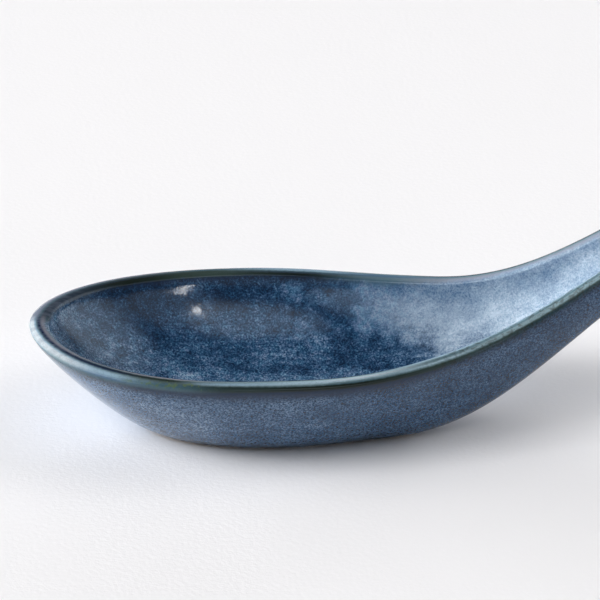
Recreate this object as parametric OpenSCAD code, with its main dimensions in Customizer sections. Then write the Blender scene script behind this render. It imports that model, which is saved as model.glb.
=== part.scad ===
// Flat-bottomed ceramic soup spoon: one fired clay body under a coat of glaze.
// X runs from the bowl towards the handle, Y across, Z up, in millimetres.
// The origin is the middle of the flat foot, on the table.

/* [Bowl] */
// Outside width of the bowl at its widest
bowl_w = 48; // [40:0.5:60]
// Height of the rim above the table where the bowl is widest
rim_h = 18.9; // [15:0.1:26]
// How much higher the rim stands at the front tip
tip_lift = 1.6; // [0:0.1:4]
// Length from the front tip to where the bowl is widest
tip_to_widest = 37.3; // [32:0.1:44]
// Length from there to the neck
widest_to_neck = 34; // [28:0.1:42]
// Thickness of the bowl's floor, coat and all
bowl_floor_t = 4.3; // [3:0.1:6]

/* [Handle] */
// Outside width of the spoon at the neck
neck_w = 33.7; // [26:0.1:38]
// How much higher the rim stands at the neck than where the bowl is widest
neck_lift = 1.1; // [0:0.1:3]
// Length from the neck to the grip
neck_to_grip = 59.7; // [45:0.1:80]
// Length from the grip to the end of the handle
grip_to_end = 9; // [7:0.1:14]
// Outside width of the handle at the grip
grip_w = 15.5; // [12:0.1:20]
// How much higher the rim stands at the grip than where the bowl is widest
grip_rise = 30.3; // [20:0.1:40]
// How much higher the rim stands at the end than at the grip
end_rise = 2.4; // [0:0.1:5]
// Height of the handle's section at the grip, from underside to rim
grip_depth = 7.1; // [5.5:0.1:10]
// Width of the flat underside at the grip
under_w = 7.4; // [5:0.1:10]
// How far the underside stops short of the handle's end
end_setback = 4.5; // [3:0.1:6]
// Thickness of the channel's floor at the grip, coat and all
grip_floor_t = 2.8; // [2:0.1:4]
// Thickness of the channel's floor at the end, coat and all
end_floor_t = 3.4; // [2:0.1:4]

/* [Lip] */
// Width of the rolled lip
lip_w = 3.4; // [2.4:0.1:4.5]
// Height of the lip's crown above the walls that carry it
lip_h = 0.9; // [0.6:0.1:1.8]

/* [Foot] */
// Length from the front tip of the bowl to the front of the foot
foot_front = 21.6; // [16:0.1:27]
// Length from the front of the foot to where it is widest
foot_front_to_widest = 19.9; // [14:0.1:26]
// Length from there to the foot's end under the neck
foot_widest_to_end = 19.5; // [14:0.1:26]
// Width of the foot at its widest
foot_w = 18.6; // [14:0.1:24]
// Width of the foot at its end
foot_end_w = 13.3; // [9:0.1:16]

/* [Glaze] */
// Thickness of the coat inside the bowl and the channel
inside_t = 0.5; // [0.2:0.05:0.8]
// Thickness of the coat over the lip
rim_t = 0.2; // [0.1:0.05:0.4]
// Thickness of the coat on the outer wall and under the handle
outside_t = 0.4; // [0.2:0.05:0.6]
// Height of the wiped line, where the outer coat stops, above the table
wiped_h = 0.5; // [0.3:0.05:1.2]

/* [Fineness] */
// Steps along each side, from the tip to where the bowl is widest
tip_steps = 12; // [8:1:16]
// Steps along each side, from there to the neck
neck_steps = 9; // [6:1:12]
// Steps along each side, from the neck to the grip
handle_steps = 15; // [10:1:20]
// Steps along each side, from the grip to the middle of the end
end_steps = 6; // [4:1:8]
// Steps across half of the underside
under_steps = 2; // [2:1:3]
// Steps up the outer wall
wall_steps = 8; // [6:1:10]
// Steps over the lip
lip_steps = 6; // [4:2:8]
// Steps down the inner wall to the middle of the bed
bed_steps = 10; // [7:1:12]

/* [Hidden] */

// Slopes of the guide lines, as rise or sidestep for each unit of length
neck_taper = 0.404;
neck_slope = 0.147;
grip_slope = 0.355;
foot_taper = 0.12;

// Places along the spoon, from the front tip of the bowl
widest_x = tip_to_widest;
neck_x = widest_x + widest_to_neck;
grip_x = neck_x + neck_to_grip;
end_x = grip_x + grip_to_end;
foot_widest_x = foot_front + foot_front_to_widest;
foot_end_x = foot_widest_x + foot_widest_to_end;
foot_mid_x = (foot_front + foot_end_x) / 2;
under_end_x = end_x - end_setback;
keel_len = grip_x - foot_end_x;

// Heights of the handle
neck_z = rim_h + neck_lift;
grip_z = rim_h + grip_rise;
end_z = grip_z + end_rise;
grip_under_z = grip_z - grip_depth;

// Where the middle lines start and end, so that the stations fan out at both ends
spine_start_share = 0.52;
spine_stop_share = 0.27;
spine_start_x = foot_front + spine_start_share * foot_front_to_widest;
spine_stop_x = under_end_x - spine_stop_share * under_w;

// Height of the handle's underside past the grip, where it runs straight
function under_z(x) = grip_under_z + (x - grip_x) * grip_slope;

// Lengths of the curves' handles at the start and end of each span, as shares of what they follow
rim_tip_shares = [0.426, 0.709];
rim_neck_shares = [0.36, 0.413];
rim_handle_shares = [0.344, 0.438];
rim_end_shares = [0.55, 0.55];
foot_front_shares = [0.6, 0.5];
foot_end_shares = [0.4, 0.4];
keel_shares = [0.36, 0.499];
under_end_shares = [0.5, 0.5];
line_shares = [1 / 3, 1 / 3];

// How far the wall runs level from the foot and upright below the lip, outside and inside
wall_foot_share = 0.259;
wall_lip_share = 0.08;
bed_floor_share = 0.58;
bed_lip_share = 0.13;

half_lip = lip_w / 2;
up = [0, 0, 1];
ahead = [1, 0, 0];
sideways = [0, 1, 0];
handle_run = [1, 0, grip_slope];

side_steps = [tip_steps, neck_steps, handle_steps, end_steps];
last = tip_steps + neck_steps + handle_steps + end_steps;
around = 2 * last;
foot_last = tip_steps + neck_steps;

// Rows of the skin, counted from the middle of the underside round the lip to the middle of the bed
foot_row = under_steps;
wiped_row = foot_row + 1;
lip_row = foot_row + wall_steps;
bed_row = lip_row + lip_steps;
mid_bed_row = bed_row + bed_steps;
rim_low_row = lip_row - 1;
rim_high_row = bed_row + 1;
blend_rows = 2;

// A cubic curve and its run at the share s
function curve(a, b, c, d, s) =
    (1 - s) ^ 3 * a + 3 * (1 - s) ^ 2 * s * b + 3 * (1 - s) * s ^ 2 * c + s ^ 3 * d;
function curve_run(a, b, c, d, s) =
    (1 - s) ^ 2 * (b - a) + 2 * (1 - s) * s * (c - b) + s ^ 2 * (d - c);

// The four corners of span k in a chain of knots, each a point and its heading
function corners(knots, reach, k) = [
    knots[k][0],
    knots[k][0] + knots[k][1] * reach[k][0],
    knots[k + 1][0] - knots[k + 1][1] * reach[k][1],
    knots[k + 1][0]
];

// Points along a chain, each with its run
function chain(knots, reach) = [
    for (k = [0 : len(side_steps) - 1])
        let (p = corners(knots, reach, k))
            for (i = [(k == 0 ? 0 : 1) : side_steps[k]])
                let (s = i / side_steps[k])
                    [curve(p[0], p[1], p[2], p[3], s), curve_run(p[0], p[1], p[2], p[3], s)]
];

// Crest of the lip, from the tip along the left side to the end of the handle
rim_knots = [
    [[half_lip, 0, rim_h + tip_lift], sideways],
    [[widest_x, bowl_w / 2 - half_lip, rim_h], ahead],
    [[neck_x, neck_w / 2 - half_lip, neck_z], [1, -neck_taper, neck_slope]],
    [[grip_x, grip_w / 2 - half_lip, grip_z], handle_run],
    [[end_x - half_lip, 0, end_z], -sideways]
];
rim_reach = [
    [(bowl_w / 2 - half_lip) * rim_tip_shares[0], (widest_x - half_lip) * rim_tip_shares[1]],
    widest_to_neck * rim_neck_shares,
    neck_to_grip * rim_handle_shares,
    [(grip_to_end - half_lip) * rim_end_shares[0], (grip_w / 2 - half_lip) * rim_end_shares[1]]
];
rim = chain(rim_knots, rim_reach);

// Edge of the flat foot, which runs on as the edge of the handle's underside
edge_knots = [
    [[foot_front, 0, 0], sideways],
    [[foot_widest_x, foot_w / 2, 0], ahead],
    [[foot_end_x, foot_end_w / 2, 0], [1, -foot_taper, 0]],
    [[grip_x, under_w / 2, grip_under_z], handle_run],
    [[under_end_x, 0, under_z(under_end_x)], -sideways]
];
edge_reach = [
    [foot_w / 2 * foot_front_shares[0], foot_front_to_widest * foot_front_shares[1]],
    foot_widest_to_end * foot_end_shares,
    keel_len * keel_shares,
    [(under_end_x - grip_x) * under_end_shares[0], under_w / 2 * under_end_shares[1]]
];
edge = chain(edge_knots, edge_reach);

// Middle line of the underside for no floor, and of the bed for the floors given
function middle(bowl_floor, grip_floor, end_floor) = chain(
    [
        [[spine_start_x, 0, bowl_floor], ahead],
        [[foot_widest_x, 0, bowl_floor], ahead],
        [[foot_end_x, 0, bowl_floor], ahead],
        [[grip_x, 0, grip_under_z + grip_floor], handle_run],
        [[spine_stop_x, 0, under_z(spine_stop_x) + end_floor], handle_run]
    ],
    [
        (foot_widest_x - spine_start_x) * line_shares,
        foot_widest_to_end * line_shares,
        keel_len * keel_shares,
        (spine_stop_x - grip_x) * line_shares
    ]
);
spine = middle(0, 0, 0);
bed = middle(bowl_floor_t, grip_floor_t, end_floor_t);

function plan(v) = [v.x, v.y, 0];
function unit(v) = v / norm(v);

// Level direction that points out of the spoon across the lip
function across(i) = unit([-rim[i][1].y, rim[i][1].x, 0]);

// Share up the outer wall's curve for wall row j; the first one reaches the wiped line
wiped_share = sqrt(wiped_h / (3 * (1 - wall_lip_share) * (rim_h - lip_h)));
function wall_share(j) = j == 0 ? 0 : wiped_share + (1 - wiped_share) * (j - 1) / (wall_steps - 1);

// Rows of one station: underside, outer wall, lip and bed
function under_rows(i) = [
    for (j = [0 : under_steps - 1])
        spine[i][0] + (edge[i][0] - spine[i][0]) * j / under_steps
];
function wall_rows(i) =
    let (
        foot = edge[i][0],
        top = rim[i][0] - up * lip_h + across(i) * half_lip,
        low = foot + plan(top - foot) * wall_foot_share,
        high = top - up * (top - foot).z * wall_lip_share
    )
    [for (j = [0 : wall_steps - 1]) curve(foot, low, high, top, wall_share(j))];
function lip_rows(i) = [
    for (j = [0 : lip_steps - 1])
        let (turn = 180 * j / lip_steps)
            rim[i][0] + across(i) * half_lip * cos(turn) + up * lip_h * (sin(turn) - 1)
];
function bed_rows(i) =
    let (
        mid = bed[i][0],
        bed_slope = bed[i][1].z / bed[i][1].x,
        top = rim[i][0] - up * lip_h - across(i) * half_lip,
        out = plan(top - mid),
        low = mid + (out + up * out.x * bed_slope) * bed_floor_share,
        high = top - up * (top - mid).z * bed_lip_share
    )
    [for (j = [0 : bed_steps]) curve(top, high, low, mid, j / bed_steps)];
function station(i) = [
    for (p = concat(under_rows(i), wall_rows(i), lip_rows(i), bed_rows(i)))
        p - ahead * foot_mid_x
];

// The whole glazed surface: stations round the spoon, tip to end and back along the other side
half_skin = [for (i = [0 : last]) station(i)];
function mirrored(p) = [p.x, -p.y, p.z];
skin = [
    for (i = [0 : around - 1])
        i <= last ? half_skin[i] : [for (p = half_skin[around - i]) mirrored(p)]
];
function wrap(i) = (i + around) % around;

// Outward direction of the surface at station i and row j
function middle_out(i, j, turn) =
    let (
        near = min(i, around - i),
        run = skin[min(near + 1, last)][j] - skin[max(near - 1, 0)][j]
    )
    unit([run.z, 0, -run.x]) * turn;
function out_at(i, j) =
    j == 0 ? middle_out(i, j, 1) :
    j == mid_bed_row ? middle_out(i, j, -1) :
    unit(cross(skin[wrap(i - 1)][j] - skin[wrap(i + 1)][j], skin[i][j + 1] - skin[i][j - 1]));

// Thickness of the coat: none on the foot, thin over the lip, thicker outside and inside
function on_foot(i) = min(i, around - i) <= foot_last;
function coat_t(i, j) = j <= foot_row && on_foot(i) ? 0 : lookup(j, [
    [rim_low_row - blend_rows, outside_t],
    [rim_low_row + 1, rim_t],
    [rim_high_row - 1, rim_t],
    [rim_high_row + blend_rows, inside_t]
]);
clay_skin = [
    for (i = [0 : around - 1])
        [for (j = [0 : mid_bed_row]) skin[i][j] - out_at(i, j) * coat_t(i, j)]
];

// Index of a point; the two middle rows are shared by both sides
function id(i, j) =
    let (w = wrap(i))
        (j == 0 || j == mid_bed_row ? min(w, around - w) : w) * (mid_bed_row + 1) + j;
function flat_list(grid) = [for (row = grid) for (p = row) p];
layer = around * (mid_bed_row + 1);

// Two triangles of the patch between stations i, i + 1 and rows j, j + 1, alike on both sides.
// The cut between them never joins two points of the middle plane.
function patch(i, j) =
    let (
        a = id(i, j),
        b = id(i, j + 1),
        c = id(i + 1, j + 1),
        d = id(i + 1, j),
        left = i < last,
        front = min(i, around - 1 - i) < last / 2,
        outer = j < mid_bed_row / 2
    )
    left == (front == outer) ? [[a, c, b], [a, d, c]] : [[a, d, b], [d, c, b]];
function turned_in(face) = [for (k = [2 : -1 : 0]) face[k] + layer];
function side_wall(a, b) = [[a, b + layer, b], [a, a + layer, b + layer]];

// Faces of a coat over the patches that keep names: outer faces, inner faces and the edges between
function coat_faces(keep) = [
    for (i = [0 : around - 1])
        for (j = [0 : mid_bed_row - 1])
            if (keep(i, j))
                each concat(
                    patch(i, j),
                    [for (face = patch(i, j)) turned_in(face)],
                    j > 0 && !keep(i, j - 1) ? side_wall(id(i, j), id(i + 1, j)) : [],
                    j < mid_bed_row - 1 && !keep(i, j + 1) ? side_wall(id(i + 1, j + 1), id(i, j + 1)) : [],
                    !keep(wrap(i - 1), j) ? side_wall(id(i, j + 1), id(i, j)) : [],
                    !keep(wrap(i + 1), j) ? side_wall(id(i + 1, j), id(i + 1, j + 1)) : []
                )
];

module coat(keep) {
    polyhedron(
        points = concat(flat_list(skin), flat_list(clay_skin)),
        faces = coat_faces(keep)
    );
}

// Patches of the underside that lie past the foot, under the handle
function under_handle(i) = min(i, around - 1 - i) > foot_last;

module clay_body() {
    color("#b59e80")
        polyhedron(
            points = flat_list(clay_skin),
            faces = [
                for (i = [0 : around - 1])
                    for (j = [0 : mid_bed_row - 1])
                        each patch(i, j)
            ]
        );
}

module inside_glaze() {
    color("#31506b") coat(function (i, j) j >= rim_high_row);
}

module rim_glaze() {
    color("#6f8287") coat(function (i, j) j >= rim_low_row && j < rim_high_row);
}

module outside_glaze() {
    color("#5a7799") coat(function (i, j) j < rim_low_row && (j >= wiped_row || under_handle(i)));
}

clay_body();
inside_glaze();
rim_glaze();
outside_glaze();
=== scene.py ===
import math
import bpy
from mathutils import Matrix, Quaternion, Vector
from mathutils.kdtree import KDTree


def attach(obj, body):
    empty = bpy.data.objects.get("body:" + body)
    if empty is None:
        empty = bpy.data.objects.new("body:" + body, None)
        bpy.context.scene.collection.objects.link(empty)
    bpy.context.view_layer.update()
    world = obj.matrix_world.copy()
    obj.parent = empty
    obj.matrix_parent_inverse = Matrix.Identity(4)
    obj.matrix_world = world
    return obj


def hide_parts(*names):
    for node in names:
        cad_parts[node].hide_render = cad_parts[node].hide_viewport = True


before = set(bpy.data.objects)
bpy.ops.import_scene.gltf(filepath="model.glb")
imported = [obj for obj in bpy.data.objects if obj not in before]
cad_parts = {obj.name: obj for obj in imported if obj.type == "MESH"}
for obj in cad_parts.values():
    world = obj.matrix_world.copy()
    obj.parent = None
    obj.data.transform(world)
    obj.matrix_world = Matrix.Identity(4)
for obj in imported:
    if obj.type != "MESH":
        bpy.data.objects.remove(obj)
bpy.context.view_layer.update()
print("frame loaded:", sorted(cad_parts))

mm = 0.001
weldReach = 0.001 * mm      # points this near each other become one
smoothAngle = 40            # degrees, a sharper edge than this stays sharp


# selecting and small mesh steps

def pick(*pieces):
    bpy.ops.object.select_all(action="DESELECT")
    for piece in pieces:
        piece.select_set(True)
    bpy.context.view_layer.objects.active = pieces[0]


def enterEdit(piece, action="SELECT"):
    pick(piece)
    bpy.ops.object.mode_set(mode="EDIT")
    bpy.ops.mesh.select_mode(type="VERT")
    bpy.ops.mesh.select_all(action=action)


def leaveEdit():
    bpy.ops.object.mode_set(mode="OBJECT")


def deletePoints(piece, chosen):
    enterEdit(piece, "DESELECT")
    leaveEdit()
    for index in chosen:
        piece.data.vertices[index].select = True
    bpy.ops.object.mode_set(mode="EDIT")
    bpy.ops.mesh.delete(type="VERT")
    leaveEdit()


def applyModifier(piece, kind, **settings):
    pick(piece)
    modifier = piece.modifiers.new(kind.lower(), kind)
    for name, value in settings.items():
        setattr(modifier, name, value)
    bpy.ops.object.modifier_apply(modifier=modifier.name)


def subdivide(piece, levels):
    applyModifier(piece, "SUBSURF", levels=levels, render_levels=levels)


def shadeSmooth():
    bpy.ops.object.shade_smooth_by_angle(angle=math.radians(smoothAngle))


def mergedCopy(nodeName, pieceName, pairing):       # a solid's mesh again, as one net of quads
    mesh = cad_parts[nodeName].data.copy()
    mesh.materials.clear()
    piece = bpy.data.objects.new(pieceName, mesh)
    mesh.name = pieceName
    bpy.context.scene.collection.objects.link(piece)
    enterEdit(piece)
    bpy.ops.mesh.remove_doubles(threshold=weldReach)
    bpy.ops.mesh.tris_convert_to_quads(
        face_threshold=math.pi, shape_threshold=math.pi, topology_influence=pairing)
    leaveEdit()
    return piece


# the camera, at the photograph's angle

viewpoint = {
    "aim": (0.0063, 0.0299, 0.009),
    "distance": 0.6830,
    "azimuth": -2.176,
    "elevation": 25.693,
    "roll": -0.104,
    "lens": 227.3,
    "sensor": 36,
    "sees": (0.05, 20),         # nearest and farthest, in metres
}


def placeCamera():
    data = bpy.data.cameras.new("camera")
    data.lens = viewpoint["lens"]
    data.sensor_width = viewpoint["sensor"]
    data.clip_start, data.clip_end = viewpoint["sees"]
    camera = bpy.data.objects.new("camera", data)
    bpy.context.scene.collection.objects.link(camera)
    turn = math.radians(viewpoint["azimuth"])
    tilt = math.radians(viewpoint["elevation"])
    forward = Vector((-math.sin(turn) * math.cos(tilt), math.cos(turn) * math.cos(tilt), -math.sin(tilt)))
    camera.location = Vector(viewpoint["aim"]) - forward * viewpoint["distance"]
    camera.rotation_euler = (math.pi / 2 - tilt, 0, turn)
    camera.rotation_euler.rotate_axis("Z", math.radians(viewpoint["roll"]))
    bpy.context.scene.camera = camera


placeCamera()
bpy.context.scene.view_settings.view_transform = "Standard"
print("camera placed")


# the clay body, and the glazed skin: the outer faces of the three coats, joined into one sheet,
# smoothed and parted again, so that no seam shows between the coats

body = {
    "pairing": 1.1,             # how strongly the triangles pair up into a regular net
    "levels": 2,
}

coats = {                       # thickness in mm; the rim comes first and the outside second
    "rim_glaze": {"piece": "rimCoat", "pairing": 1.0, "thickness": 0.24},
    "outside_glaze": {"piece": "outsideCoat", "pairing": 1.5, "thickness": 0.44},
    "inside_glaze": {"piece": "insideCoat", "pairing": 1.1, "thickness": 0.54},
}

skinShape = {
    "touch": 0.01,              # mm, a point this near the clay lies on it
    "crestRow": 4,              # rows of points from the outer edge of the rim coat to its crest
    "levels": 2,
    "rounds": 2,                # of moving the net so that the smooth skin meets the solid's points
    "heldRows": 12,             # rows from the crest where that ends
    "heldFade": 3,              # rows over which it fades
}


def pointsOf(piece):
    tree = KDTree(len(piece.data.vertices))
    for vertex in piece.data.vertices:
        tree.insert(vertex.co, vertex.index)
    tree.balance()
    return tree


def outerSkin(nodeName, clayPoints):
    coat = coats[nodeName]
    piece = mergedCopy(nodeName, coat["piece"], coat["pairing"])
    reach = skinShape["touch"] * mm
    deletePoints(piece, [v.index for v in piece.data.vertices if clayPoints.find(v.co)[2] < reach])
    piece.data.materials.append(bpy.data.materials.new(coat["piece"]))
    return piece


def joinSheets(sheets):
    pick(*sheets)
    bpy.ops.object.join()
    joined = sheets[0]
    joined.name = "skin"
    joined.data.name = "skin"
    enterEdit(joined)
    bpy.ops.mesh.remove_doubles(threshold=weldReach)
    leaveEdit()
    return joined


def neighbours(mesh):
    beside = [[] for _ in mesh.vertices]
    for edge in mesh.edges:
        a, b = edge.vertices
        beside[a].append(b)
        beside[b].append(a)
    return beside


def countRows(mesh, beside):        # rows of points from the crest, negative on the outside
    rimSlot, outsideSlot = 0, 1
    slots = [set() for _ in mesh.vertices]
    for face in mesh.polygons:
        for index in face.vertices:
            slots[index].add(face.material_index)
    rows = [0 if found == {rimSlot, outsideSlot} else None for found in slots]
    front = [index for index, row in enumerate(rows) if row == 0]
    step = 0
    while front:
        step += 1
        following = []
        for index in front:
            for other in beside[index]:
                if rows[other] is None:
                    rows[other] = -step if slots[other] == {outsideSlot} else step
                    following.append(other)
        front = following
    return [row - skinShape["crestRow"] for row in rows]


def measureFromCrest(mesh, beside, rows):       # in mm along the skin, inwards positive
    def length(a, b):
        return (mesh.vertices[a].co - mesh.vertices[b].co).length / mm

    ways = [0.0 if row == 0 else None for row in rows]
    for direction, last in ((1, max(rows)), (-1, min(rows))):
        for row in range(direction, last + direction, direction):
            for index in [i for i, r in enumerate(rows) if r == row]:
                back = [other for other in beside[index] if rows[other] == row - direction]
                nearest = min(back, key=lambda other: length(other, index))
                ways[index] = ways[nearest] + direction * length(nearest, index)
    kept = mesh.attributes.new("fromCrest", "FLOAT", "POINT")
    kept.data.foreach_set("value", ways)
    print("rows:", min(rows), max(rows), "from the crest in mm:", round(min(ways), 1), round(max(ways), 1))


def smoothSkin(piece, rows):
    mesh = piece.data
    levels, heldRows, fade = skinShape["levels"], skinShape["heldRows"], skinShape["heldFade"]
    hold = [min(1, max(0, heldRows - abs(row)) / fade) for row in rows]
    target = [v.co.copy() for v in mesh.vertices]
    for _ in range(skinShape["rounds"]):
        trial = bpy.data.objects.new("trial", mesh.copy())
        bpy.context.scene.collection.objects.link(trial)
        subdivide(trial, levels)
        moves = [(target[i] - trial.data.vertices[i].co) * hold[i] for i in range(len(target))]
        bpy.data.objects.remove(trial)
        for vertex, move in zip(mesh.vertices, moves):
            vertex.co += move
    subdivide(piece, levels)


def keepNormals(piece):
    mesh = piece.data
    kept = mesh.attributes.new("skinNormal", "FLOAT_VECTOR", "POINT")
    kept.data.foreach_set("vector", [part for vertex in mesh.vertices for part in vertex.normal])


def useSkinNormals(piece, outerFaces):
    mesh = piece.data
    kept = mesh.attributes["skinNormal"]
    normals = [(0, 0, 0)] * len(mesh.loops)
    for face in mesh.polygons[:outerFaces]:
        for loop in face.loop_indices:
            normals[loop] = tuple(kept.data[mesh.loops[loop].vertex_index].vector)
    mesh.normals_split_custom_set(normals)


def partSkin(piece):
    keepNormals(piece)
    enterEdit(piece)
    bpy.ops.mesh.separate(type="MATERIAL")
    leaveEdit()
    parted = {}
    for found in list(bpy.context.selected_objects):
        found.name = "split"            # leaves the coats' names free
        found.data.name = "split"
        parted[found.data.materials[0].name] = found
    return parted


def thickenCoat(piece, name, thickness):
    piece.name = name
    piece.data.name = name
    outerFaces = len(piece.data.polygons)
    applyModifier(piece, "SOLIDIFY", thickness=thickness * mm, offset=-1)
    shadeSmooth()
    useSkinNormals(piece, outerFaces)


clay = mergedCopy("clay_body", "firedBody", body["pairing"])
clayPoints = pointsOf(clay)
skin = joinSheets([outerSkin(name, clayPoints) for name in coats])
print("skin:", len(skin.data.polygons), "faces,", [m.name for m in skin.data.materials])
beside = neighbours(skin.data)
rows = countRows(skin.data, beside)
measureFromCrest(skin.data, beside, rows)
smoothSkin(skin, rows)
print("skin smoothed:", len(skin.data.polygons), "faces")
pieces = partSkin(skin)
for coat in coats.values():
    thickenCoat(pieces[coat["piece"]], coat["piece"], coat["thickness"])
print("coats:", {name: len(piece.data.polygons) for name, piece in pieces.items()})
subdivide(clay, body["levels"])
shadeSmooth()
pieces["firedBody"] = clay


# small helpers for the material nodes

def addNode(tree, kind, feeds=None, **settings):
    made = tree.nodes.new(kind)
    for name, value in settings.items():
        setattr(made, name, value)
    for name, value in (feeds or {}).items():
        if isinstance(value, bpy.types.NodeSocket):
            tree.links.new(value, made.inputs[name])
        else:
            made.inputs[name].default_value = value
    return made


def calculate(tree, operation, first, second=0.0, third=0.0):
    feeds = {0: first, 1: second, 2: third}
    return addNode(tree, "ShaderNodeMath", feeds, operation=operation).outputs[0]


def plus(tree, first, *others):
    for other in others:
        first = calculate(tree, "ADD", first, other)
    return first


def minus(tree, first, second):
    return calculate(tree, "SUBTRACT", first, second)


def times(tree, first, *factors):
    for factor in factors:
        first = calculate(tree, "MULTIPLY", first, factor)
    return first


def timesPlus(tree, value, factor, rest):
    return calculate(tree, "MULTIPLY_ADD", value, factor, rest)


def swing(tree, pattern, strength, middle=0.5):     # a pattern's swing about 0.5, rescaled about a new middle
    return timesPlus(tree, minus(tree, pattern, 0.5), strength, middle)


def between(tree, value, low, high, outLow=0.0, outHigh=1.0):
    made = addNode(tree, "ShaderNodeMapRange", {
        "Value": value, "From Min": low, "From Max": high, "To Min": outLow, "To Max": outHigh},
        interpolation_type="SMOOTHSTEP")
    return made.outputs["Result"]


def choose(tree, share, first, second):
    return addNode(tree, "ShaderNodeMix", {0: share, 2: first, 3: second}).outputs[0]


def mixColour(tree, share, first, second, blend="MIX"):
    made = addNode(tree, "ShaderNodeMix", data_type="RGBA", blend_type=blend)
    for socket, value in ((made.inputs[0], share), (made.inputs[6], first), (made.inputs[7], second)):
        if isinstance(value, bpy.types.NodeSocket):
            tree.links.new(value, socket)
        else:
            socket.default_value = value if isinstance(value, float) else (*value, 1)
    return made.outputs[2]


def ramp(tree, factor, stops):
    made = addNode(tree, "ShaderNodeValToRGB", {"Fac": factor})
    made.color_ramp.interpolation = "LINEAR"
    while len(made.color_ramp.elements) < len(stops):
        made.color_ramp.elements.new(0.5)
    for element, (place, colour) in zip(made.color_ramp.elements, stops):
        element.position = place
        element.color = (*colour, 1)
    return made.outputs["Color"]


def combine(tree, x, y, z):
    return addNode(tree, "ShaderNodeCombineXYZ", {"X": x, "Y": y, "Z": z}).outputs[0]


def cloud(tree, coords, size, detail=2.0, rough=0.5, bend=0.0):     # size in mm
    made = addNode(tree, "ShaderNodeTexNoise", {
        "Vector": coords, "Scale": 1 / (size * mm), "Detail": detail, "Roughness": rough, "Distortion": bend})
    return made.outputs["Fac"]


def addBump(tree, height, strength, distance, under=None):      # distance in mm
    feeds = {"Height": height, "Strength": strength, "Distance": distance * mm}
    if under is not None:
        feeds["Normal"] = under
    return addNode(tree, "ShaderNodeBump", feeds).outputs["Normal"]


def objectCoords(tree):
    return addNode(tree, "ShaderNodeTexCoord").outputs["Object"]


def newMaterial(name):
    material = bpy.data.materials.new(name)
    material.use_nodes = True
    tree = material.node_tree
    return material, tree, tree.nodes["Principled BSDF"]


# the glaze: one recipe for the three coats, so that the colours run on across their edges
# where a row of numbers is a change, the first two say where it begins and ends, in metres along x or y
# or in mm from the crest, and two more say from what to what

glaze = {
    "palette": (        # from thin, deep navy glaze to pooled, milky glaze
        (0.00, (0.0030, 0.0110, 0.0300)),
        (0.22, (0.0050, 0.0240, 0.0620)),
        (0.42, (0.0200, 0.0630, 0.1350)),
        (0.60, (0.0780, 0.1500, 0.2600)),
        (0.80, (0.2500, 0.3450, 0.4600)),
        (1.00, (0.5200, 0.6100, 0.7000)),
    ),
    "insideStarts": (-0.2, 0.6),
    "gloss": {"rimCoat": 0.40, "outsideCoat": 0.36, "insideCoat": 0.50},
    "ior": 1.48,
    "roughness": 0.09,
    "roughnessSpread": (0.3, 0.8, 0.7, 1.5),            # of the blots, and how many times the roughness
    "ripple": ((5.0, 2.0, 0.5), 0.35, 0.25),            # pattern, strength, height in mm
    "pits": (0.25, 0.03),                               # strength, height in mm
}

milk = {                # how milky the glaze is, as a place on the palette, with some painted light, sheen and haze mixed in
    "outside": (-0.045, 0.045, 0.55, 0.355),            # from the bowl's tip to the handle; paler toward the tip is painted light falling from the left
    "bowl": 0.38,
    # darker on the inside wall from 4 to 13 mm inside the crest
    "bowlEdge": (4.0, 13.0), "bowlEdgeDarker": 0.12,
    "bowlDip": ((-0.014, -0.020), (-0.031, -0.026), -0.045),    # its right and left side, and how much thinner
    # paler near the rim at the left end: painted reflection haze
    "leftEndPaintedHaze": (-0.026, -0.035),
    "leftEndHazeSteps": ((9.0, 5.0, 0.0, 0.12), (5.0, 2.6, 0.0, 0.12)),
    "floorEdge": (-0.020, 0.000, 0.0105, 0.0075),       # the far edge of the painted reflection haze on the floor, y along x
    "floorEdgeSoftness": (0.001, -0.003),
    "floorPaintedHaze": (0.029, 0.011, 0.0, 0.15),
    # the channel's paler glaze: pooled glaze, and in part painted sheen of the window light, strongest toward the
    # handle
    "channel": 0.665,
    "channelEdge": (1.0, 11.0), "channelEdgeThinner": 0.01,
    "channelStarts": (0.042, 0.059),
    "channelStartWanders": (0.030, 0.012),              # with the clouds and with the blots
    "channelStartFarSide": (0.005, 0.016, -0.005, 0.020),
    "channelRiseAndSheen": (0.022, 0.048, 0.0, 0.155),
    "channelCalm": -0.6,                                # how much weaker grain and blots are there
}

patterns = {            # size in mm, detail, roughness, bend; then the strength outside and inside
    "clouds": ((9.0, 3.0, 0.55), 0.38, 0.50),
    "blots": ((2.6, 3.0, 0.6, 0.3), 0.16, 0.62),
    "grain": ((0.33, 2.0, 0.65), 1.25, 1.1),
    "grainTops": (0.66, 0.90), "grainTopSoftness": 0.16,
    "worms": ((0.50, 1.0, 0.5, 0.5), -1.5, -1.0), "wormsMiddle": 0.09,
    "streaks": ((1.0, 3.0, 0.65), 0.25, 0.60),
    "streaksStretch": (0.06, 0.45, 0.0008),             # along x and y, and from the crest
    "streaksByCrest": (7.0, 15.0, 0.25, 1.0),
    "tones": (1.1, 3.0, 0.6, 0.3), "tonesSpan": (0.36, 0.64),
    "toneCool": (0.55, 1.04, 1.10), "toneWarm": (1.16, 0.98, 1.03),
    "tonesInBowl": (0.030, 0.014), "tonesShare": (0.42, 0.05),      # more in the bowl, and everywhere
}

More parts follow.
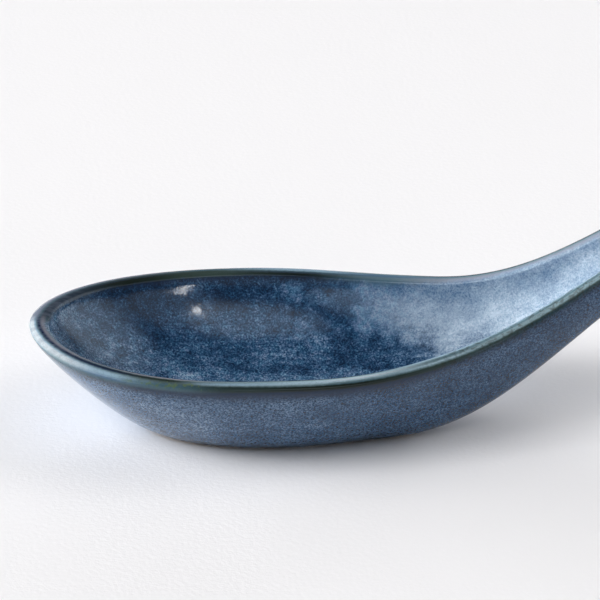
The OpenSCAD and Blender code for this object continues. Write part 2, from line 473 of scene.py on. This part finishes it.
# white, frost and lilac, and pale where it lies on the lip's crest, are painted highlight
shades = {
    "highlightWhite": (0.46, 0.52, 0.56), "highlightFrost": (0.33, 0.46, 0.55), "rose": (0.20, 0.205, 0.25),
    "pale": (0.23, 0.35, 0.45), "mist": (0.13, 0.20, 0.23), "blue": (0.07, 0.135, 0.215),
    "teal": (0.05, 0.10, 0.13), "mauve": (0.13, 0.155, 0.21), "highlightLilac": (0.185, 0.205, 0.265),
    "slate": (0.020, 0.034, 0.056), "moss": (0.035, 0.058, 0.052), "olive": (0.007, 0.013, 0.010),
    "loden": (0.016, 0.030, 0.030), "navy": (0.006, 0.018, 0.055), "ink": (0.002, 0.008, 0.028),
    "dusk": (0.0025, 0.018, 0.052), "fleck": (0.10, 0.15, 0.045), "rust": (0.020, 0.018, 0.010),
    "speck": (0.008, 0.012, 0.014),
}

lip = {
    "span": (-4.0, 3.0),        # mm from the crest, outside and inside
    "wander": ((5.0, 2.0), 1.4), "fine": ((0.8, 2.0), 0.5),         # pattern, and its swing in mm
    "fineOnEdge": 2.0, "fineAcross": 0.5,
    "wanderAlong": 0.003, "wanderOfMiddle": 0.001,
    "handle": (0.022, 0.034),
    "farSide": (-0.001, 0.003),
    # on the near crest, pale, frost and white are painted highlight, and the navy and ink band just inside it at
    # the left is painted dark reflection
    "near": (                   # x in mm, then mm from the crest (inwards positive) and the shade there
        (-36, (-2.6, "teal"), (-2.0, "mist"), (-1.5, "highlightWhite"), (-1.0, "highlightWhite"), (-0.75, "pale"), (-0.4, "teal"),
         (-0.2, "navy"), (0.05, "navy"), (0.45, "rose"), (0.75, "rose"), (1.2, "teal")),
        (-29, (-3.4, "slate"), (-2.6, "teal"), (-1.9, "blue"), (-1.4, "pale"), (-1.0, "pale"), (-0.5, "teal"),
         (-0.3, "navy"), (0.1, "ink"), (0.35, "teal"), (0.7, "rose"), (1.0, "slate")),
        (-18, (-3.0, "dusk"), (-2.2, "teal"), (-1.2, "teal"), (-0.6, "moss"), (-0.2, "olive"), (0.1, "moss"),
         (0.45, "rose"), (0.75, "rose"), (1.0, "slate")),
        (-7, (-2.4, "dusk"), (-1.9, "loden"), (-1.1, "loden"), (-0.8, "mist"), (-0.65, "pale"), (-0.3, "pale"),
         (0.1, "mist"), (0.5, "mist"), (0.9, "slate")),
        (6, (-2.4, "dusk"), (-1.9, "olive"), (-1.3, "olive"), (-0.95, "mist"), (-0.6, "highlightFrost"), (-0.1, "highlightFrost"),
         (0.5, "mist"), (0.9, "slate")),
        (14, (-2.4, "dusk"), (-1.9, "olive"), (-1.35, "olive"), (-1.1, "teal"), (-0.8, "mist"), (-0.5, "highlightFrost"),
         (-0.15, "highlightWhite"), (0.15, "highlightFrost"), (0.5, "mist"), (0.9, "slate")),
        (29, (-2.4, "dusk"), (-1.9, "loden"), (-1.6, "loden"), (-1.35, "moss"), (-1.1, "mist"), (-0.8, "highlightFrost"),
         (-0.5, "mist"), (-0.15, "teal"), (0.25, "mist"), (0.65, "pale"), (1.0, "pale")),
        (40, (-2.4, "dusk"), (-1.9, "loden"), (-1.5, "loden"), (-1.2, "moss"), (-0.95, "mist"), (-0.3, "mist"),
         (0.1, "teal"), (0.5, "mist"), (1.0, "pale")),
    ),
    # on the far crest, pale and the lilac band along the handle are painted highlight
    "far": (
        (-36, (-0.4, "mauve"), (0.0, "teal"), (0.4, "slate"), (1.4, "slate"), (2.2, "slate")),
        (-24, (-0.3, "mauve"), (0.05, "moss"), (0.35, "slate"), (0.7, "olive"), (1.5, "olive"), (2.0, "navy")),
        (-11, (-0.2, "teal"), (0.3, "moss"), (1.4, "moss"), (2.0, "navy")),
        (6, (-0.3, "pale"), (0.15, "pale"), (0.5, "teal"), (0.8, "slate"), (1.1, "olive"), (2.0, "ink")),
        (20, (-0.4, "mist"), (0.1, "blue"), (1.0, "teal"), (3.0, "blue")),
        (36, (-0.3, "slate"), (-0.1, "teal"), (0.15, "mist"), (0.7, "highlightLilac"), (1.8, "highlightLilac"), (3.0, "blue")),
    ),
    "combed": (0.8, 2.0), "combedStretch": (0.0002, 0.3),           # from the crest and along x
    "combedSpan": (0.35, 0.65), "combedAtTip": (-0.030, -0.037), "combedShare": 0.35,
    "flecks": (1.0, 3.0, 0.65, 0.4), "flecksSpan": (0.52, 0.64),
    "flecksFromCrest": ((-2.2, -1.5), (-0.2, -0.6)),
    "flecksAlong": ((-0.008, -0.014, 0.0, 0.6), (-0.028, -0.022)),
    "rustSpan": (0.55, 0.36, 0.0, 0.6), "rustNearSide": (0.0, -0.002),
    "specksSpan": (0.25, 0.60, 0.16, 0.0),
    "innerEdge": (-0.002, 0.002, 1.3, 2.0),             # mm from the crest, from the near to the far side
    "innerEdgeFarHandle": -0.9, "innerSoftness": (0.9, -0.7),
    "outerSoftness": (-6.2, -2.4), "outerEdgeHandle": -1.7,
}


def channelShare(tree, x, y, clouds, blots):
    byClouds, byBlots = milk["channelStartWanders"]
    farLater = between(tree, y, *milk["channelStartFarSide"])
    wander = plus(tree, times(tree, clouds, byClouds), times(tree, blots, byBlots), farLater)
    return between(tree, plus(tree, x, wander), *milk["channelStarts"])


def milkInside(tree, x, y, fromCrest, channel):
    inBowl, inChannel = milk["bowl"], milk["channel"]
    thin = between(tree, fromCrest, *milk["bowlEdge"], inBowl - milk["bowlEdgeDarker"], inBowl)
    rightSide, leftSide, dipDepth = milk["bowlDip"]
    dip = times(tree, between(tree, x, *rightSide), between(tree, x, *leftSide))
    thin = timesPlus(tree, dip, dipDepth, thin)
    # the channel: pooled glaze, with painted sheen rising toward the handle
    pooled = between(tree, fromCrest, *milk["channelEdge"], inChannel - milk["channelEdgeThinner"], inChannel)
    pooled = plus(tree, pooled, between(tree, x, *milk["channelRiseAndSheen"]))
    level = choose(tree, channel, thin, pooled)
    # paler near the rim at the left end: painted reflection haze
    steps = plus(tree, *(between(tree, fromCrest, *step) for step in milk["leftEndHazeSteps"]))
    level = plus(tree, level, times(tree, between(tree, x, *milk["leftEndPaintedHaze"]), steps))
    # painted reflection haze on the near part of the bowl's floor
    pastFloorEdge = minus(tree, y, between(tree, x, *milk["floorEdge"]))
    onFloor = between(tree, pastFloorEdge, *milk["floorEdgeSoftness"])
    return plus(tree, level, times(tree, onFloor, between(tree, x, *milk["floorPaintedHaze"])))


def makeGrain(tree, coords, inside):        # fine spots with worm-like threads between them
    spots = cloud(tree, coords, *patterns["grain"][0])
    wormPattern, *wormStrengths = patterns["worms"]
    worms = calculate(tree, "ABSOLUTE", minus(tree, cloud(tree, coords, *wormPattern), 0.5))
    worms = minus(tree, worms, patterns["wormsMiddle"])
    worms = times(tree, worms, between(tree, inside, 0.0, 1.0, *wormStrengths))
    top = choose(tree, inside, *patterns["grainTops"])
    return calculate(tree, "SMOOTH_MIN", plus(tree, spots, worms), top, patterns["grainTopSoftness"])


def makeStreaks(tree, x, y, fromCrest):
    alongX, alongY, across = patterns["streaksStretch"]
    stretched = combine(tree, times(tree, x, alongX), times(tree, y, alongY), times(tree, fromCrest, across))
    strength = between(tree, calculate(tree, "ABSOLUTE", fromCrest), *patterns["streaksByCrest"])
    return swing(tree, cloud(tree, stretched, *patterns["streaks"][0]), strength)


def addTones(tree, coords, x, inside, colour):      # small cool and warm spots
    tones = between(tree, cloud(tree, coords, *patterns["tones"]), *patterns["tonesSpan"])
    tint = mixColour(tree, tones, patterns["toneCool"], patterns["toneWarm"])
    inBowl = times(tree, inside, between(tree, x, *patterns["tonesInBowl"]))
    share = timesPlus(tree, inBowl, *patterns["tonesShare"])
    return mixColour(tree, share, colour, mixColour(tree, 1.0, colour, tint, "MULTIPLY"))


def mixStations(tree, across, along, stations):     # the shades across the lip, mixed from station to station
    start, end = lip["span"]
    side, last = None, None
    for station, *stops in stations:
        here = ramp(tree, across, [((way - start) / (end - start), shades[shade]) for way, shade in stops])
        if side is None:
            side = here
        else:
            side = mixColour(tree, between(tree, along, last * mm, station * mm), side, here)
        last = station
    return side


def lipColours(tree, coords, x, y, fromCrest, grain):       # the lip's colour, and where it shows
    wanderPattern, wanderSwing = lip["wander"]
    finePattern, fineSwing = lip["fine"]
    wander = swing(tree, cloud(tree, coords, *wanderPattern), wanderSwing, 0.0)
    fine = swing(tree, cloud(tree, coords, *finePattern), fineSwing, 0.0)
    handle = between(tree, x, *lip["handle"])
    farSide = between(tree, plus(tree, y, times(tree, wander, lip["wanderOfMiddle"])), *lip["farSide"])

    start, end = lip["span"]
    across = minus(tree, timesPlus(tree, fine, lip["fineAcross"], fromCrest), start)
    across = calculate(tree, "DIVIDE", across, end - start)
    along = plus(tree, x, times(tree, wander, lip["wanderAlong"]))
    # these stations paint the highlight on the crest, and the dark reflection inside it at the left, into the lip's
    # colour
    nearColour = mixStations(tree, across, along, lip["near"])
    farColour = mixStations(tree, across, along, lip["far"])
    colour = mixColour(tree, farSide, nearColour, farColour)

    # combed strokes round the left tip
    combedAcross, combedAlong = lip["combedStretch"]
    combed = combine(tree, times(tree, fromCrest, combedAcross), y, times(tree, x, combedAlong))
    combed = between(tree, cloud(tree, combed, *lip["combed"]), *lip["combedSpan"])
    tip = times(tree, between(tree, x, *lip["combedAtTip"]), combed, lip["combedShare"])
    colour = mixColour(tree, tip, colour, shades["mauve"])

    # yellow-green flecks on the near flank, clay showing through along the handle, and dark specks
    flecks = cloud(tree, coords, *lip["flecks"])
    onFlank = times(tree, *(between(tree, fromCrest, *row) for row in lip["flecksFromCrest"]))
    alongFlank = times(tree, *(between(tree, x, *row) for row in lip["flecksAlong"]))
    fleckShare = times(tree, onFlank, times(tree, between(tree, flecks, *lip["flecksSpan"]), alongFlank))
    colour = mixColour(tree, fleckShare, colour, shades["fleck"])
    nearHandle = times(tree, handle, between(tree, y, *lip["rustNearSide"]))
    rustShare = times(tree, nearHandle, between(tree, flecks, *lip["rustSpan"]))
    colour = mixColour(tree, rustShare, colour, shades["rust"])
    colour = mixColour(tree, between(tree, grain, *lip["specksSpan"]), colour, shades["speck"])

    # where the lip's colours begin and end
    ragged = plus(tree, fromCrest, timesPlus(tree, fine, lip["fineOnEdge"], wander))
    innerEdge = between(tree, y, *lip["innerEdge"])
    innerEdge = timesPlus(tree, times(tree, handle, farSide), lip["innerEdgeFarHandle"], innerEdge)
    inner = between(tree, minus(tree, ragged, innerEdge), *lip["innerSoftness"])
    outer = between(tree, timesPlus(tree, handle, lip["outerEdgeHandle"], ragged), *lip["outerSoftness"])
    return colour, times(tree, inner, outer)


def makeGlaze(name, gloss):
    material, tree, shader = newMaterial(name)
    coords = objectCoords(tree)
    split = addNode(tree, "ShaderNodeSeparateXYZ", {"Vector": coords})
    x, y = split.outputs["X"], split.outputs["Y"]
    fromCrest = addNode(tree, "ShaderNodeAttribute", attribute_name="fromCrest").outputs["Fac"]
    inside = between(tree, fromCrest, *glaze["insideStarts"])

    # how milky the glaze is: deep navy where thin, pale where it pooled; painted light is mixed in: paler outside
    # toward the tip, painted sheen in the channel, painted reflection haze on the near floor and at the left end
    clouds = cloud(tree, coords, *patterns["clouds"][0])
    blots = cloud(tree, coords, *patterns["blots"][0])
    channel = channelShare(tree, x, y, clouds, blots)
    # paler toward the bowl's tip: painted light from the left
    outsideLevelWithPaintedLight = between(tree, x, *milk["outside"])
    level = choose(tree, inside, outsideLevelWithPaintedLight, milkInside(tree, x, y, fromCrest, channel))
    calm = timesPlus(tree, times(tree, channel, inside), milk["channelCalm"], 1.0)
    grain = swing(tree, makeGrain(tree, coords, inside), calm)
    blots = swing(tree, blots, calm)
    streaks = makeStreaks(tree, x, y, fromCrest)
    for pattern, kind in ((clouds, "clouds"), (blots, "blots"), (grain, "grain"), (streaks, "streaks")):
        level = swing(tree, pattern, choose(tree, inside, *patterns[kind][1:]), level)
    colour = addTones(tree, coords, x, inside, ramp(tree, level, glaze["palette"]))

    # the lip, where the glaze runs thin over the brown clay: dark olive beside the crest; the pale to white crest
    # is painted highlight
    lipColour, lipShare = lipColours(tree, coords, x, y, fromCrest, grain)
    tree.links.new(mixColour(tree, lipShare, colour, lipColour), shader.inputs["Base Color"])

    shader.inputs["IOR"].default_value = glaze["ior"]
    shader.inputs["Specular IOR Level"].default_value = gloss
    low, high, smoother, rougher = glaze["roughnessSpread"]
    smoother, rougher = glaze["roughness"] * smoother, glaze["roughness"] * rougher
    tree.links.new(between(tree, blots, low, high, smoother, rougher), shader.inputs["Roughness"])
    ripplePattern, *rippleSize = glaze["ripple"]
    ripple = addBump(tree, cloud(tree, coords, *ripplePattern), *rippleSize)
    tree.links.new(addBump(tree, grain, *glaze["pits"], under=ripple), shader.inputs["Normal"])
    return material


# the bare clay of the foot

bareClay = {
    "grit": (0.5, 3.0, 0.7),
    "gritColours": ((0.30, (0.16, 0.10, 0.065)), (0.55, (0.30, 0.21, 0.14)), (0.75, (0.40, 0.31, 0.22))),
    "patches": (6.0, 2.0, 0.5), "patchesSpan": (0.35, 0.7, 0.0, 0.4), "patchColour": (0.20, 0.12, 0.08),
    "roughness": 0.85,
    "bump": (0.5, 0.06),        # strength, height in mm
}


def makeBareClay(name):
    material, tree, shader = newMaterial(name)
    coords = objectCoords(tree)
    grit = cloud(tree, coords, *bareClay["grit"])
    patches = between(tree, cloud(tree, coords, *bareClay["patches"]), *bareClay["patchesSpan"])
    colour = mixColour(tree, patches, ramp(tree, grit, bareClay["gritColours"]), bareClay["patchColour"])
    tree.links.new(colour, shader.inputs["Base Color"])
    shader.inputs["Roughness"].default_value = bareClay["roughness"]
    tree.links.new(addBump(tree, grit, *bareClay["bump"]), shader.inputs["Normal"])
    return material


looks = {
    "rimCoat": makeGlaze("glazeRim", glaze["gloss"]["rimCoat"]),
    "outsideCoat": makeGlaze("glazeOutside", glaze["gloss"]["outsideCoat"]),
    "insideCoat": makeGlaze("glazeInside", glaze["gloss"]["insideCoat"]),
    "firedBody": makeBareClay("bareClay"),
}
for name, piece in pieces.items():
    piece.data.materials.clear()
    piece.data.materials.append(looks[name])
print("materials made:", sorted(looks))


# floor, air and lights

studio = {
    "floorSize": 8.0,
    "floorColour": (0.905, 0.895, 0.908), "floorRoughness": 0.9, "floorGloss": 0.0,
    "floorGrain": ((0.9, 3.0, 0.6), 0.6, 0.08),         # pattern, strength, height in mm
    "air": ((0.00, 0.30), (0.10, 0.26), (0.26, 0.18), (0.60, 0.13), (1.00, 0.10)),      # sine of height, brightness
    "airTint": (0.92, 0.98, 1.0),
    "mirrored": (       # azimuth, elevation, degrees to full brightness and to none, brightness
        (-48, 48, 12, 34, 1.3),
        (-116, 33, 8, 26, 3.6),
        (-150, 38, 5, 18, 1.1),
        (76, 28, 10, 38, 1.3),
        (136, 48, 8, 24, 0.6),
        (168, 64, 4, 17, 1.3),
        (180, 2, 16, 36, 0.30),
        (-66, 5, 12, 34, 2.0),
    ),
    "mirroredTint": (0.87, 0.965, 1.02),
    "windows": (        # name, azimuth, elevation, distance, width, height, brightness
        ("windowLeft", -68, 5, 6, 2.6, 1.05, 63),
        ("windowLeftBack", -44, 5, 6, 2.8, 1.05, 33),
        ("windowUpper", -118, 45, 2.4, 1.0, 1.0, 9.4),
        ("windowUpperBack", -92, 38, 6, 2.5, 2.5, 2.6),
        ("windowFront", -145, 45, 2.4, 1.0, 1.0, 2.9),
        ("wallRight", 95, 42, 2.4, 1.0, 0.9, 4.7),
        ("wallRightBack", 70, 42, 2.4, 1.0, 0.9, 1.6),
        ("wallBehind", 30, 7, 6, 3.4, 1.25, 16.7),
        ("wallBehindLeft", 0, 7, 6, 3.0, 1.25, 7.2),
        ("wallFront", 158, 12, 2.4, 1.2, 0.6, 3.4),
    ),
    "gleams": (         # the same, and how many degrees each leans
        ("gleamHigh", 156.9, 33.5, 1.5, 0.038, 0.54, 28, -20),
        ("gleamLow", 152, 58, 1.5, 0.045, 0.20, 23, -24),
    ),
}


def layFloor():
    bpy.ops.mesh.primitive_plane_add(size=studio["floorSize"], location=(0, 0, 0))
    laid = bpy.context.object
    laid.name = "studioFloor"
    paper, tree, shader = newMaterial("paperFloor")
    shader.inputs["Base Color"].default_value = (*studio["floorColour"], 1)
    shader.inputs["Roughness"].default_value = studio["floorRoughness"]
    shader.inputs["Specular IOR Level"].default_value = studio["floorGloss"]
    grainPattern, *grainSize = studio["floorGrain"]
    grain = cloud(tree, objectCoords(tree), *grainPattern)
    tree.links.new(addBump(tree, grain, *grainSize), shader.inputs["Normal"])
    laid.data.materials.append(paper)
    return laid


def heading(azimuth, elevation):
    turn, rise = math.radians(azimuth), math.radians(elevation)
    return Vector((math.sin(turn) * math.cos(rise), math.cos(turn) * math.cos(rise), math.sin(rise)))


def softLobe(tree, direction, azimuth, elevation, full, none, brightness):
    feeds = {0: direction, 1: heading(azimuth, elevation)}
    toward = addNode(tree, "ShaderNodeVectorMath", feeds, operation="DOT_PRODUCT").outputs["Value"]
    return between(tree, toward, math.cos(math.radians(none)), math.cos(math.radians(full)), 0.0, brightness)


def makeAir():          # what the glaze mirrors; the windows do the lighting
    world = bpy.data.worlds.new("studioAir")
    bpy.context.scene.world = world
    world.use_nodes = True
    tree = world.node_tree
    direction = addNode(tree, "ShaderNodeTexCoord").outputs["Generated"]
    height = addNode(tree, "ShaderNodeSeparateXYZ", {"Vector": direction}).outputs["Z"]
    tint = studio["airTint"]
    colour = ramp(tree, height, [(sine, tuple(bright * t for t in tint)) for sine, bright in studio["air"]])
    for lobe in studio["mirrored"]:
        feeds = {0: softLobe(tree, direction, *lobe), 1: studio["mirroredTint"], 2: colour}
        colour = addNode(tree, "ShaderNodeVectorMath", feeds, operation="MULTIPLY_ADD").outputs[0]
    tree.links.new(colour, tree.nodes["Background"].inputs["Color"])
    world.cycles_visibility.diffuse = False


def softLight(name, azimuth, elevation, distance, width, height, brightness, lean=0):
    data = bpy.data.lights.new(name, "AREA")
    data.shape = "RECTANGLE"
    data.size = width
    data.size_y = height
    data.energy = brightness * math.pi * width * height
    light = bpy.data.objects.new(name, data)
    bpy.context.scene.collection.objects.link(light)
    toward = heading(azimuth, elevation)
    light.location = toward * distance
    turned = toward.to_track_quat("Z", "Y") @ Quaternion((0, 0, 1), math.radians(lean))
    light.rotation_euler = turned.to_euler()
    return light


def placeGleams():      # two narrow lights that only the inside of the spoon mirrors
    inBowl = bpy.data.collections.new("inBowl")
    inBowl.objects.link(pieces["insideCoat"])
    for row in studio["gleams"]:
        gleam = softLight(*row)
        gleam.visible_diffuse = False
        gleam.light_linking.receiver_collection = inBowl


floor = layFloor()
makeAir()
for window in studio["windows"]:
    softLight(*window).visible_glossy = False
placeGleams()
print("floor, air and lights placed")


# the pieces in the frame

for name, piece in pieces.items():
    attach(piece, "root")
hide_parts("clay_body")
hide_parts("inside_glaze")
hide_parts("rim_glaze")
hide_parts("outside_glaze")
